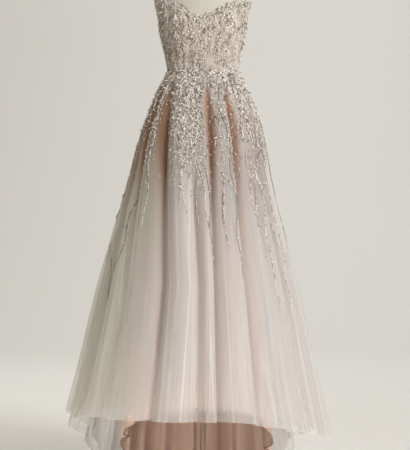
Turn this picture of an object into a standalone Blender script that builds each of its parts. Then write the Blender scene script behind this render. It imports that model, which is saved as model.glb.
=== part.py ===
"""Strapless A-line wedding gown with a short sweep train, standing on a limbless dress form.

The bodice is seven boned panels closed by a centre-back zip. At the waist seam hang three
skirts: a satin lining, a middle tulle skirt and an outer tulle skirt with a doubled hem.
Front faces -Y, +X is the viewer's right, and the floor is z = 0. All sizes are in metres.
"""

import functools
import math

import bpy
import numpy as np

# Driving dimensions
WAIST_Z = 1.343
FORM_GAP = 0.0016  # between the dress form and the cloth that it carries
SEAM_GAP = 0.0003
BODICE_WALL = 0.0016
BEADING_RELIEF = 0.0020  # height of the thick beaded vines over the bodice's base cloth
SKIRT_WALL = 0.0010
HEM_BAND_HEIGHT = 0.030
HEM_BAND_WALL, HEM_BAND_GAP = 0.0008, 0.0016
FLOOR_CLEARANCE = 0.0006
FLOOR_BEND_RADIUS = 0.050  # how tightly a skirt turns where it reaches the floor
FLOOR_RIPPLE = 0.011  # height of the folds in the part of the train that lies down
FOLD_ROUNDNESS = 0.6  # below 1 makes ridges broad and troughs narrow

# The figure's outline, as heights over the waist and half sizes of an oval section
BODY_COLUMNS = ("height", "side", "front", "back")
BODY = (
    (-0.250, 0.1510, 0.1100, 0.1160),
    (-0.200, 0.1540, 0.1130, 0.1200),
    (-0.120, 0.1435, 0.1050, 0.1120),
    (-0.060, 0.1260, 0.0940, 0.0970),
    (0.000, 0.1115, 0.0820, 0.0800),
    (0.050, 0.1185, 0.0900, 0.0830),
    (0.100, 0.1295, 0.1010, 0.0880),
    (0.150, 0.1400, 0.1060, 0.0920),
    (0.180, 0.1450, 0.1040, 0.0940),
    (0.210, 0.1530, 0.0990, 0.0960),
    (0.240, 0.1630, 0.0940, 0.0970),
    (0.290, 0.1715, 0.0880, 0.0950),
    (0.335, 0.1670, 0.0790, 0.0860),
    (0.365, 0.1360, 0.0680, 0.0740),
    (0.385, 0.0950, 0.0600, 0.0650),
    (0.405, 0.0690, 0.0560, 0.0600),
    (0.435, 0.0590, 0.0545, 0.0575),
    (0.470, 0.0570, 0.0540, 0.0560),
)
CUP_ANGLE, CUP_HEIGHT = 34.0, 0.135
CUP_ANGLE_SPREAD, CUP_HEIGHT_SPREAD, CUP_DEPTH = 19.0, 0.046, 0.016

# Bodice: the top edge is a sweetheart line, high over the cups and low at the back
TOP_EDGE_COLUMNS = ("angle", "height")
TOP_EDGE = (
    (0, 0.158), (11, 0.170), (22, 0.189), (34, 0.205), (47, 0.213), (60, 0.211),
    (74, 0.190), (90, 0.163), (120, 0.138), (150, 0.124), (180, 0.120),
)
BODICE_PANELS = (
    "bodice_back_left", "bodice_side_back_left", "bodice_side_front_left", "bodice_centre_front",
    "bodice_side_front_right", "bodice_side_back_right", "bodice_back_right",
)
VINES_PER_PANEL = 4
COLUMNS_PER_VINE = 3
BODICE_ROWS = 8
VINE_WANDER = 1.5  # degrees that a vine sways either side as it climbs
EDGE_SPRAY = 0.007  # how far a vine's tip stands over the top edge
ZIP_WIDTH, ZIP_WALL = 0.010, 0.0010
PLAIN_BACK_ANGLE = 171.0  # past this angle the back has no vines, beside the zip

# Outer tulle skirt: half sizes of its ridge line, by how far it has dropped from the waist
SKIRT_COLUMNS = ("drop", "side", "front", "back")
OUTER_SKIRT = (
    (0.000, 0.1165, 0.0870, 0.0850),
    (0.030, 0.1310, 0.1015, 0.1000),
    (0.060, 0.1475, 0.1150, 0.1170),
    (0.100, 0.1645, 0.1310, 0.1360),
    (0.155, 0.1865, 0.1500, 0.1580),
    (0.255, 0.2150, 0.1790, 0.1920),
    (0.355, 0.2370, 0.2030, 0.2210),
    (0.455, 0.2640, 0.2280, 0.2510),
    (0.700, 0.3310, 0.2920, 0.3300),
    (1.000, 0.4010, 0.3660, 0.4200),
    (1.110, 0.4300, 0.3940, 0.4520),
    (1.350, 0.4860, 0.4500, 0.5160),
)
LINING_SKIRT = (
    (0.000, 0.1134, 0.0839, 0.0819),
    (0.060, 0.1295, 0.0975, 0.1005),
    (0.120, 0.1470, 0.1085, 0.1155),
    (0.200, 0.1600, 0.1200, 0.1290),
    (0.350, 0.1800, 0.1400, 0.1540),
    (0.600, 0.2050, 0.1750, 0.2050),
    (0.900, 0.2300, 0.2130, 0.2700),
    (1.100, 0.2460, 0.2350, 0.3200),
    (1.350, 0.2680, 0.2600, 0.3900),
)
OUTER_LEAN, LINING_LEAN = 0.055, 0.085  # the skirts swing to the viewer's left by this share
OUTER_LEAN_FROM, OUTER_LEAN_FULL = 0.05, 0.45  # and the swing grows between these drops
LINING_LEAN_FROM, LINING_LEAN_FULL = 0.20, 0.60

# Fold depth by drop from the waist, for each skirt
FOLD_COLUMNS = ("drop", "depth")
OUTER_FOLDS = (
    (0.0, 0.0), (0.03, 0.005), (0.06, 0.012), (0.10, 0.018), (0.155, 0.026),
    (0.20, 0.031), (0.50, 0.046), (1.35, 0.054),
)
MIDDLE_FOLD_SHARE = 0.85
MIDDLE_CLEARANCE = 0.0025  # room for the outer skirt's sharpest troughs
MIDDLE_FOLDS = tuple((drop, MIDDLE_FOLD_SHARE * depth) for drop, depth in OUTER_FOLDS)
LINING_FOLDS = ((0.0, 0.0), (0.25, 0.0), (0.45, 0.006), (0.80, 0.018), (1.35, 0.032))

# Troughs between the folds: degrees from the centre front, share of the full depth, and the
# share of the skirt's length at which the trough starts to open
TROUGH_COLUMNS = ("at_waist", "at_hem", "depth", "starts")
OUTER_TROUGHS = (
    (-180, -180, 0.80, 0.05), (-166, -167, 0.65, 0.20), (-149, -149, 0.90, 0.08),
    (-132, -132, 0.75, 0.02), (-115, -115, 0.90, 0.15), (-100, -98, 0.70, 0.05),
    (-86, -76, 0.80, 0.10), (-74, -60, 0.60, 0.22), (-61, -44, 0.95, 0.03),
    (-45, -24.5, 1.00, 0.00), (-14, -3, 0.45, 0.25), (5, 5.5, 1.00, 0.00),
    (28, 24.5, 0.95, 0.00), (43, 39, 0.60, 0.18), (60, 54, 0.85, 0.06),
    (79, 78, 0.70, 0.12), (98, 98, 0.80, 0.03), (115, 115, 0.65, 0.20),
    (131, 131, 0.90, 0.05), (147, 148, 0.45, 0.15), (163, 164, 0.90, 0.04),
)
OUTER_GORES = (
    "tulle_outer_back_left", "tulle_outer_side_left", "tulle_outer_front_left", "tulle_outer_front",
    "tulle_outer_front_right", "tulle_outer_side_right", "tulle_outer_back_right",
)
MIDDLE_GORES = (
    "tulle_middle_back_left", "tulle_middle_side_left", "tulle_middle_front_left",
    "tulle_middle_front", "tulle_middle_front_right", "tulle_middle_side_right",
    "tulle_middle_back_right",
)
LINING_TROUGHS = (
    (-180, -172, 0.9, 0.2), (-156, -148, 0.8, 0.3), (-132, -127, 1.0, 0.2),
    (-108, -107, 0.9, 0.2), (-84, -84, 1.0, 0.3), (-60, -62, 0.8, 0.2),
    (-36, -38, 1.0, 0.2), (-12, -14, 0.8, 0.4), (12, 10, 1.0, 0.2),
    (36, 33, 0.9, 0.2), (60, 68, 0.9, 0.3), (84, 100, 1.0, 0.2),
    (108, 126, 0.9, 0.2), (132, 150, 0.8, 0.3), (156, 168, 1.0, 0.2),
)
LINING_GORES = (
    "lining_back_left", "lining_side_left", "lining_front", "lining_side_right", "lining_back_right",
)
FOLDS_PER_GORE = 3

# Hems: height over the floor by angle. Where the hem reaches the floor the height is 0 and
# the train lies on it for the stated length
HEM_COLUMNS = ("angle", "height", "train")
OUTER_HEM = (
    (-180, 0.0, 0.12), (-160, 0.0, 0.10), (-140, 0.0, 0.04), (-115, 0.120, 0.0), (-90, 0.224, 0.0),
    (-60, 0.236, 0.0), (-30, 0.236, 0.0), (0, 0.239, 0.0), (17, 0.232, 0.0), (30, 0.212, 0.0),
    (45, 0.192, 0.0), (70, 0.163, 0.0), (90, 0.145, 0.0), (115, 0.132, 0.0), (132, 0.090, 0.0),
    (150, 0.0, 0.04), (165, 0.0, 0.10), (180, 0.0, 0.12),
)
MIDDLE_HEM_RISE, MIDDLE_TRAIN_SHARE = 0.034, 0.50
LINING_HEM = (
    (-180, 0.0, 0.07), (-160, 0.0, 0.06), (-140, 0.0, 0.03), (-115, 0.040, 0.0), (-90, 0.128, 0.0),
    (-45, 0.226, 0.0), (0, 0.262, 0.0), (40, 0.235, 0.0), (90, 0.125, 0.0), (115, 0.045, 0.0),
    (140, 0.0, 0.03), (160, 0.0, 0.06), (180, 0.0, 0.07),
)

# Rows of points down each skirt: shares of the length above the tail, then metres past its start
FALL_ROWS = (0.0, 0.03, 0.065, 0.115, 0.18, 0.28, 0.41, 0.58, 0.78, 1.0)
BEND_ROWS = (0.030, 0.062)
FREE_TAIL = 0.100

# Stand
BASE_RADIUS, BASE_THICKNESS = 0.150, 0.012
POLE_RADIUS, FLANGE_RADIUS, FLANGE_THICKNESS = 0.0090, 0.045, 0.008
HUB_RADIUS, HUB_HEIGHT = 0.020, 0.040
NECK_CAP_HEIGHT = 0.020
FORM_COLUMNS_ROUND = 36
TURNED_STEPS = 30

COLOURS = {
    "tulle": ((0.83, 0.80, 0.77), 0.8, 0.0),
    "satin": ((0.66, 0.49, 0.41), 0.45, 0.0),
    "beaded": ((0.62, 0.54, 0.48), 0.4, 0.2),
    "linen": ((0.78, 0.74, 0.66), 0.85, 0.0),
    "metal": ((0.16, 0.12, 0.10), 0.4, 1.0),
}


@functools.lru_cache(maxsize=None)
def columns_of(table, column):
    """One column of a table against its first, with the slope of a smooth curve at each row."""
    rows = np.array(table, float)
    return rows[:, 0], rows[:, column], np.gradient(rows[:, column], rows[:, 0])


def curve_through(table, column, at):
    """A smooth curve through one column of a table, read at values of its first column."""
    x, y, slopes = columns_of(table, column)
    i = np.clip(np.searchsorted(x, at) - 1, 0, len(x) - 2)
    step = x[i + 1] - x[i]
    t = np.clip((at - x[i]) / step, 0.0, 1.0)
    start = (1 + 2 * t) * (1 - t) ** 2 * y[i] + t * (1 - t) ** 2 * step * slopes[i]
    end = t * t * (3 - 2 * t) * y[i + 1] + t * t * (t - 1) * step * slopes[i + 1]
    return start + end


def eased(value, start, end):
    t = np.clip((value - start) / (end - start), 0.0, 1.0)
    return t * t * (3 - 2 * t)


def wrapped(angle):
    return (angle + 180.0) % 360.0 - 180.0


def body_point(angle, height, outwards=0.0):
    """A point of the figure's surface, moved outwards. The angle runs from the centre front."""
    turn = math.radians(angle)
    depth_column = 2 if math.cos(turn) > 0 else 3
    across = wrapped(angle)
    cup = CUP_DEPTH * sum(
        math.exp(-(((across - side) / CUP_ANGLE_SPREAD) ** 2))
        * math.exp(-(((height - CUP_HEIGHT) / CUP_HEIGHT_SPREAD) ** 2))
        for side in (-CUP_ANGLE, CUP_ANGLE)
    )
    side = curve_through(BODY, 1, height) + outwards
    depth = curve_through(BODY, depth_column, height) + outwards
    return np.array([
        side * math.sin(turn) + cup * math.sin(turn) * 0.6,
        -depth * math.cos(turn) - cup * math.cos(turn),
        WAIST_Z + height,
    ])


def material(name):
    found = bpy.data.materials.get(name)
    if found is None:
        colour, roughness, metallic = COLOURS[name]
        found = bpy.data.materials.new(name)
        found.use_nodes = True
        shader = found.node_tree.nodes["Principled BSDF"]
        shader.inputs["Base Color"].default_value = (*colour, 1.0)
        shader.inputs["Roughness"].default_value = roughness
        shader.inputs["Metallic"].default_value = metallic
    return found


def new_object(name, mesh, finish, collection):
    mesh.materials.append(material(finish))
    made = bpy.data.objects.new(name, mesh)
    collection.objects.link(made)
    return made


def grid_faces(rows, columns):
    """Quads of a grid of points stored row by row, facing outwards when rows run downwards."""
    return [
        (r * columns + c, (r + 1) * columns + c, (r + 1) * columns + c + 1, r * columns + c + 1)
        for r in range(rows - 1)
        for c in range(columns - 1)
    ]


def sheet(name, rows, finish, collection, wall, lift=0.0):
    """Cloth: an open surface, moved by lift, and given its wall inwards by Solidify."""
    points = [tuple(p) for row in rows for p in row]
    mesh = bpy.data.meshes.new(name)
    mesh.from_pydata(points, [], grid_faces(len(rows), len(rows[0])))
    made = new_object(name, mesh, finish, collection)
    if lift:
        raised = made.modifiers.new("Lift", "DISPLACE")
        raised.strength = lift
        raised.mid_level = 0.0
    solid = made.modifiers.new("Wall", "SOLIDIFY")
    solid.thickness = wall
    solid.offset = -1.0
    solid.use_even_offset = True
    mesh.shade_smooth()
    return made


def wall_between(name, outer_rows, inner_rows, finish, collection):
    """A closed wall between a relief outer surface and a plain inner one, of unlike shape."""
    rows, columns = len(outer_rows), len(outer_rows[0])
    points = [tuple(p) for side in (outer_rows, inner_rows) for row in side for p in row]
    inner = rows * columns
    faces = grid_faces(rows, columns)
    faces += [tuple(inner + i for i in reversed(face)) for face in grid_faces(rows, columns)]
    rim = [c for c in range(columns)]
    rim += [r * columns + columns - 1 for r in range(1, rows)]
    rim += [(rows - 1) * columns + c for c in range(columns - 2, -1, -1)]
    rim += [r * columns for r in range(rows - 2, 0, -1)]
    for a, b in zip(rim, rim[1:] + rim[:1]):
        faces.append((a, b, inner + b, inner + a))
    mesh = bpy.data.meshes.new(name)
    mesh.from_pydata(points, [], faces)
    mesh.shade_smooth()
    mesh.set_sharp_from_angle(angle=math.radians(50))
    return new_object(name, mesh, finish, collection)


def nudged(point, angle, distance):
    """The point moved round the body, which opens the gap at a seam."""
    turn = math.radians(angle)
    return point + distance * np.array([math.cos(turn), math.sin(turn), 0.0])


# Bodice

def vine_share(column, angle):
    """1 on the column that carries a vine, and little between two vines."""
    if abs(angle) > PLAIN_BACK_ANGLE:
        return 0.0
    return 1.0 if column % COLUMNS_PER_VINE == 1 else 0.12


def bodice_point(column, angle, share, relief):
    sway = VINE_WANDER * math.sin(5.0 * share + 2.3 * column) * math.sin(math.pi * min(share * 1.2, 1.0))
    carried = vine_share(column, angle)
    edge = curve_through(TOP_EDGE, 1, abs(angle)) + EDGE_SPRAY * carried
    height = SEAM_GAP / 2 + share * (edge - SEAM_GAP / 2)
    place = angle + (sway if carried > 0.5 else 0.0)
    outwards = FORM_GAP + (BODICE_WALL + BEADING_RELIEF * carried * relief if relief else 0.0)
    return body_point(place, height, outwards)


def bodice_panels(collection):
    columns = VINES_PER_PANEL * COLUMNS_PER_VINE
    width = 360.0 / len(BODICE_PANELS)
    for number, name in enumerate(BODICE_PANELS):
        surfaces = []
        for relief in (1.0, 0.0):
            rows = []
            for row in range(BODICE_ROWS, -1, -1):
                line = []
                for column in range(columns + 1):
                    angle = -180.0 + width * (number + column / columns)
                    point = bodice_point(column, angle, row / BODICE_ROWS, relief)
                    gap = {0: SEAM_GAP / 2, columns: -SEAM_GAP / 2}.get(column, 0.0)
                    line.append(nudged(point, angle, gap))
                rows.append(line)
            surfaces.append(rows)
        wall_between(name, surfaces[0], surfaces[1], "beaded", collection)


def back_zip(collection):
    """The concealed zip's cover strip, closed, over the centre-back seam of the bodice."""
    top = curve_through(TOP_EDGE, 1, 180.0)
    outwards = FORM_GAP + BODICE_WALL + SEAM_GAP
    surfaces = []
    for lift in (ZIP_WALL, 0.0):
        rows = []
        for row in range(BODICE_ROWS, -1, -1):
            height = 0.002 + (top - 0.004) * row / BODICE_ROWS
            middle = body_point(180.0, height, outwards + lift)
            rows.append([middle + [side * ZIP_WIDTH / 2, 0.0, 0.0] for side in (1, 0, -1)])
        surfaces.append(rows)
    wall_between("back_zip", surfaces[0], surfaces[1], "satin", collection)


# Skirts

def leaned(side, angle, lean):
    """The side half size, wider on the viewer's left and narrower on the right."""
    return side * (1.0 - lean * math.sin(math.radians(angle)))


def outer_ridge(angle, drop):
    depth_column = 2 if abs(wrapped(angle)) < 90 else 3
    lean = OUTER_LEAN * eased(drop, OUTER_LEAN_FROM, OUTER_LEAN_FULL)
    side = leaned(curve_through(OUTER_SKIRT, 1, drop), angle, lean)
    return side, curve_through(OUTER_SKIRT, depth_column, drop)


def middle_ridge(angle, drop):
    """The middle skirt is nested inside the outer one and folds with it, a little less deeply."""
    side, depth = outer_ridge(angle, drop)
    inset = (1.0 - MIDDLE_FOLD_SHARE) * curve_through(OUTER_FOLDS, 1, drop) + SKIRT_WALL + SEAM_GAP
    inset = inset + MIDDLE_CLEARANCE * (eased(drop, 0.02, 0.16) + 5 * eased(drop, 0.95, 1.25))
    return side - inset, depth - inset


def lining_ridge(angle, drop):
    depth_column = 2 if abs(wrapped(angle)) < 90 else 3
    lean = LINING_LEAN * eased(drop, LINING_LEAN_FROM, LINING_LEAN_FULL)
    side = leaned(curve_through(LINING_SKIRT, 1, drop), angle, lean)
    return side, curve_through(LINING_SKIRT, depth_column, drop)


@functools.lru_cache(maxsize=None)
def fall_line(ridge, angle, floor):
    """The line that cloth follows down at one angle: down the skirt, round a bend and along the
    floor. Each row is the length so far, the distance from the axis, the height and the lean
    from the vertical in radians."""
    turn = math.radians(angle)
    drops = np.linspace(3 * SEAM_GAP, WAIST_Z - floor, 90)
    side, depth = ridge(angle, drops)
    outs = np.hypot(side * math.sin(turn), depth * math.cos(turn))
    leans = np.arctan(np.gradient(outs, drops))
    bend_from = floor + FLOOR_BEND_RADIUS * (1 - math.sin(leans[-8]))
    line = [row for row in zip(outs, WAIST_Z - drops, leans) if row[1] > bend_from]
    out, height, lean = line[-1]
    radius = (height - floor) / (1 - math.sin(lean))
    step = (math.pi / 2 - lean) / 12
    for number in range(12):
        middle = lean + step * (number + 0.5)
        out = out + radius * step * math.sin(middle)
        height = height - radius * step * math.cos(middle)
        line.append((out, height, middle + step / 2))
    line += [(out + far, height, math.pi / 2) for far in np.linspace(0.02, 0.40, 20)]
    line = np.array(line)
    along = np.concatenate([[0.0], np.cumsum(np.hypot(np.diff(line[:, 0]), np.diff(line[:, 1])))])
    return np.column_stack([along, line])


def hem_lengths(ridge, floor, hem, rise=0.0, train_share=1.0):
    """How long the cloth is at each angle of a hem table, and how much of that is its tail: the
    part past the start of the bend, or a plain strip where the hem hangs free."""
    rows = []
    for angle, height, train in hem:
        line = fall_line(ridge, angle, floor)
        if train > 0:
            length = line[-21, 0] + min(train * train_share, train - rise)
            rows.append((angle, length, length - line[-33, 0]))
        else:
            rows.append((angle, float(np.interp(-(height + rise), -line[:, 2], line[:, 0])), FREE_TAIL))
    return tuple(rows)


def column_angle(troughs, fold, across, share):
    """The angle of a column, which drifts from its place at the waist to its place at the hem."""
    def edge(number):
        turns, index = divmod(number, len(troughs))
        waist, hem = troughs[index][:2]
        return 360.0 * turns + waist + (hem - waist) * min(share * 1.6, 1.0)

    return edge(fold) + (edge(fold + 1) - edge(fold)) * across


def fold_height(troughs, fold, across, share):
    """1 on the ridge of a fold and less in its troughs."""
    depths = []
    for number in (fold, fold + 1):
        _, _, depth, starts = troughs[number % len(troughs)]
        depths.append(depth * eased(share, starts - 0.05, starts + 0.20))
    depth = depths[0] + (depths[1] - depths[0]) * across
    return 1.0 - depth * (1.0 - math.sin(math.pi * across) ** FOLD_ROUNDNESS)


def skirt_point(ridge, folds, troughs, fold, across, share, length, floor, ripple):
    angle = column_angle(troughs, fold, across, share)
    line = fall_line(ridge, angle, floor)
    out, height, lean = (float(np.interp(share * length, line[:, 0], line[:, k])) for k in (1, 2, 3))
    lying = eased(lean, math.radians(22), math.radians(60))
    raised = fold_height(troughs, fold, across, share)
    depth = curve_through(folds, 1, min(share * length, 1.35))
    out -= depth * (1.0 - raised) * (1.0 - lying)
    height += ripple * raised * lying
    turn = math.radians(angle)
    side, depth_half = ridge(angle, min(share * length, 1.30))
    direction = np.array([side * math.sin(turn), -depth_half * math.cos(turn), 0.0])
    direction /= np.linalg.norm(direction)
    return direction * out + np.array([0.0, 0.0, height]), angle


def gore_rows(gore, ridge, folds, troughs, per_fold, hem_rows, floor, ripple=0.0, band=0.0):
    """The rows of points of one gore, from the waist seam down to the hem."""
    first = gore * FOLDS_PER_GORE
    columns = FOLDS_PER_GORE * per_fold
    row_count = len(FALL_ROWS) + len(BEND_ROWS) + (2 if band else 1)
    rows = [[] for _ in range(row_count)]
    for number in range(columns + 1):
        fold, across = first + number // per_fold, (number % per_fold) / per_fold
        if number == columns:
            fold, across = first + FOLDS_PER_GORE - 1, 1.0
        at_hem = wrapped(column_angle(troughs, fold, across, 1.0))
        length, tail = (float(curve_through(hem_rows, k, at_hem)) for k in (1, 2))
        stops = [share * (length - tail) for share in FALL_ROWS]
        stops += [length - tail + far for far in BEND_ROWS]
        stops += [length - band, length] if band else [length]
        for row, stop in zip(rows, stops):
            share = stop / length
            point, angle = skirt_point(ridge, folds, troughs, fold, across, share, length, floor, ripple)
            gap = {0: SEAM_GAP / 2, columns: -SEAM_GAP / 2}.get(number, 0.0)
            row.append(nudged(point, angle, gap))
    return rows


def outer_skirt(collection):
    floor = FLOOR_CLEARANCE + 3 * SKIRT_WALL + 2 * SEAM_GAP + 0.0006
    hem = hem_lengths(outer_ridge, floor, OUTER_HEM)
    for gore, name in enumerate(OUTER_GORES):
        rows = gore_rows(gore, outer_ridge, OUTER_FOLDS, OUTER_TROUGHS, 4, hem, floor,
                         ripple=FLOOR_RIPPLE, band=HEM_BAND_HEIGHT)
        sheet(name, rows, "tulle", collection, SKIRT_WALL)
        band = name.replace("tulle_outer", "hem_band")
        sheet(band, rows[-2:], "tulle", collection, HEM_BAND_WALL, lift=-SKIRT_WALL - HEM_BAND_GAP)


def middle_skirt(collection):
    floor = FLOOR_CLEARANCE + 2 * SKIRT_WALL + SEAM_GAP + 0.0003
    hem = hem_lengths(middle_ridge, floor, OUTER_HEM, MIDDLE_HEM_RISE, MIDDLE_TRAIN_SHARE)
    for gore, name in enumerate(MIDDLE_GORES):
        rows = gore_rows(gore, middle_ridge, MIDDLE_FOLDS, OUTER_TROUGHS, 2, hem, floor)
        sheet(name, rows, "tulle", collection, SKIRT_WALL)


def lining_skirt(collection):
    floor = FLOOR_CLEARANCE + SKIRT_WALL
    hem = hem_lengths(lining_ridge, floor, LINING_HEM)
    for gore, name in enumerate(LINING_GORES):
        rows = gore_rows(gore, lining_ridge, LINING_FOLDS, LINING_TROUGHS, 3, hem, floor)
        sheet(name, rows, "satin", collection, SKIRT_WALL)


# Dress form and stand

def form_torso(collection):
    """The linen-covered torso: rings of the figure's own sections, closed at both ends."""
    heights = [row[0] for row in BODY]
    count = FORM_COLUMNS_ROUND
    points = [tuple(body_point(360.0 * c / count, h)) for h in reversed(heights) for c in range(count)]
    faces = []
    for r in range(len(heights) - 1):
        for c in range(count):
            here, after = r * count + c, r * count + (c + 1) % count
            faces.append((here, here + count, after + count, after))
    faces.append(tuple(range(count)))
    last = (len(heights) - 1) * count
    faces.append(tuple(last + c for c in reversed(range(count))))
    mesh = bpy.data.meshes.new("form_torso")
    mesh.from_pydata(points, [], faces)
    mesh.shade_smooth()
    mesh.set_sharp_from_angle(angle=math.radians(40))
    return new_object("form_torso", mesh, "linen", collection)


def turned(name, profile, finish, collection, scale=(1.0, 1.0), place=(0.0, 0.0, 0.0)):
    """A turned piece: a profile of (radius, height) from its outer top down to its bottom."""
    mesh = bpy.data.meshes.new(name)
    edges = [(i, i + 1) for i in range(len(profile) - 1)]
    mesh.from_pydata([(r, 0.0, z) for r, z in profile], edges, [])
    made = new_object(name, mesh, finish, collection)
    screw = made.modifiers.new("Turn", "SCREW")
    screw.steps = screw.render_steps = TURNED_STEPS
    screw.use_merge_vertices = True
    screw.merge_threshold = 0.00005
    made.location = place
    made.scale = (scale[0], scale[1], 1.0)
    return made


def stand(collection):
    crown = BASE_THICKNESS + 0.004
    base = [(0.0, crown), (0.06, crown), (BASE_RADIUS - 0.006, BASE_THICKNESS),
            (BASE_RADIUS, BASE_THICKNESS - 0.004), (BASE_RADIUS, 0.0), (0.0, 0.0)]
    turned("stand_base", base, "metal", collection)
    foot = BASE_THICKNESS + 0.004 + SEAM_GAP
    top = WAIST_Z + BODY[0][0] - SEAM_GAP
    pole = [(0.0, top), (FLANGE_RADIUS, top), (FLANGE_RADIUS, top - FLANGE_THICKNESS),
            (POLE_RADIUS, top - 2 * FLANGE_THICKNESS), (POLE_RADIUS, foot + HUB_HEIGHT),
            (HUB_RADIUS, foot + HUB_HEIGHT - 0.012), (HUB_RADIUS, foot), (0.0, foot)]
    turned("stand_pole", pole, "metal", collection)


def neck_cap(collection):
    height, side, front, back = BODY[-1]
    low = WAIST_Z + height + SEAM_GAP
    depth = (front + back) / 2
    dome = ((0.0, 1.0), (0.5, 0.92), (0.85, 0.62), (1.0, 0.15), (1.0, 0.0), (0.0, 0.0))
    cap = [(radius, low + share * NECK_CAP_HEIGHT) for radius, share in dome]
    place = (0.0, (back - front) / 2, 0.0)
    turned("neck_cap", cap, "linen", collection, scale=(side, depth), place=place)


def main():
    for old in list(bpy.data.objects):
        bpy.data.objects.remove(old)
    collection = bpy.data.collections.new("wedding_dress_on_form")
    bpy.context.scene.collection.children.link(collection)
    bodice_panels(collection)
    back_zip(collection)
    outer_skirt(collection)
    middle_skirt(collection)
    lining_skirt(collection)
    form_torso(collection)
    neck_cap(collection)
    stand(collection)


main()
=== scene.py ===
# %% [markdown]
# A beaded tulle wedding dress on a dress form
#
# The solids give the true shape of every piece: a boned bodice, three skirts that hang from the
# waist and the limbless form under them. Here each of those pieces gets its finish. The cloth is
# built again as thin sheets with many more columns, so that it can carry fine folds, and the
# embroidery is grown over it as branches of beads.

import math

import bpy
import numpy as np
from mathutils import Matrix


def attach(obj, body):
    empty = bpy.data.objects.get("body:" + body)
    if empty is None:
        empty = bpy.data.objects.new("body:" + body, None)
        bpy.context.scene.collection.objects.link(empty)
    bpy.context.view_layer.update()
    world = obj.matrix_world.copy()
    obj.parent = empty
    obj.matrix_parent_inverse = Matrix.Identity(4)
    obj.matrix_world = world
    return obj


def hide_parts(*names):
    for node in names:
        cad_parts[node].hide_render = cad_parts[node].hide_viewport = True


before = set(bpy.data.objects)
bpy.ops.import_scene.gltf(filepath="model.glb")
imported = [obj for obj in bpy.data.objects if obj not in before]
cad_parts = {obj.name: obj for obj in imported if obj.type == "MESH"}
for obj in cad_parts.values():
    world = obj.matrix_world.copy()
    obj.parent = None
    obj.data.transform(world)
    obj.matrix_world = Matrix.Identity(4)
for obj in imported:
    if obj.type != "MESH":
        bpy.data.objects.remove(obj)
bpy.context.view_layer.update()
for each in bpy.context.selected_objects:
    each.select_set(False)

# %% [markdown]
# Sizes
#
# The tables that shaped the solids, so that the finer sheets lie on them. Heights are in metres,
# angles in degrees from the centre front, positive to the viewer's right.

# %% Sizes of the figure and the bodice
WAIST_Z = 1.343
FORM_GAP = 0.0016
SEAM_GAP = 0.0003
BODICE_WALL = 0.0016
SKIRT_WALL = 0.0010
FLOOR_CLEARANCE = 0.0006

# height over the waist, side, front, back
BODY = (
    (-0.250, 0.1510, 0.1100, 0.1160),
    (-0.200, 0.1540, 0.1130, 0.1200),
    (-0.120, 0.1435, 0.1050, 0.1120),
    (-0.060, 0.1260, 0.0940, 0.0970),
    (0.000, 0.1115, 0.0820, 0.0800),
    (0.050, 0.1185, 0.0900, 0.0830),
    (0.100, 0.1295, 0.1010, 0.0880),
    (0.150, 0.1400, 0.1060, 0.0920),
    (0.180, 0.1450, 0.1040, 0.0940),
    (0.210, 0.1530, 0.0990, 0.0960),
    (0.240, 0.1630, 0.0940, 0.0970),
    (0.290, 0.1715, 0.0880, 0.0950),
    (0.335, 0.1670, 0.0790, 0.0860),
    (0.365, 0.1360, 0.0680, 0.0740),
    (0.385, 0.0950, 0.0600, 0.0650),
    (0.405, 0.0690, 0.0560, 0.0600),
    (0.435, 0.0590, 0.0545, 0.0575),
    (0.470, 0.0570, 0.0540, 0.0560),
)
CUP_ANGLE, CUP_HEIGHT = 34.0, 0.135
CUP_ANGLE_SPREAD, CUP_HEIGHT_SPREAD, CUP_DEPTH = 19.0, 0.046, 0.016

# angle, height of the bodice's top edge over the waist
TOP_EDGE = (
    (0, 0.158), (11, 0.170), (22, 0.189), (34, 0.205), (47, 0.213), (60, 0.211),
    (74, 0.190), (90, 0.163), (120, 0.138), (150, 0.124), (180, 0.120),
)
PANELS = 7
VINES = 28
BEADING_RELIEF = 0.0020

# %% Sizes of the skirts
FLOOR_BEND_RADIUS = 0.050
FLOOR_RIPPLE = 0.011
FOLD_ROUNDNESS = 0.6

# drop from the waist, side, front, back
OUTER_SKIRT = (
    (0.000, 0.1165, 0.0870, 0.0850),
    (0.030, 0.1310, 0.1015, 0.1000),
    (0.060, 0.1475, 0.1150, 0.1170),
    (0.100, 0.1645, 0.1310, 0.1360),
    (0.155, 0.1865, 0.1500, 0.1580),
    (0.255, 0.2150, 0.1790, 0.1920),
    (0.355, 0.2370, 0.2030, 0.2210),
    (0.455, 0.2640, 0.2280, 0.2510),
    (0.700, 0.3310, 0.2920, 0.3300),
    (1.000, 0.4010, 0.3660, 0.4200),
    (1.110, 0.4300, 0.3940, 0.4520),
    (1.350, 0.4860, 0.4500, 0.5160),
)
LINING_SKIRT = (
    (0.000, 0.1134, 0.0839, 0.0819),
    (0.060, 0.1295, 0.0975, 0.1005),
    (0.120, 0.1470, 0.1085, 0.1155),
    (0.200, 0.1600, 0.1200, 0.1290),
    (0.350, 0.1800, 0.1400, 0.1540),
    (0.600, 0.2050, 0.1750, 0.2050),
    (0.900, 0.2300, 0.2130, 0.2700),
    (1.100, 0.2460, 0.2350, 0.3200),
    (1.350, 0.2680, 0.2600, 0.3900),
)
OUTER_LEAN, OUTER_LEAN_FROM, OUTER_LEAN_FULL = 0.055, 0.05, 0.45
LINING_LEAN, LINING_LEAN_FROM, LINING_LEAN_FULL = 0.085, 0.20, 0.60

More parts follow.
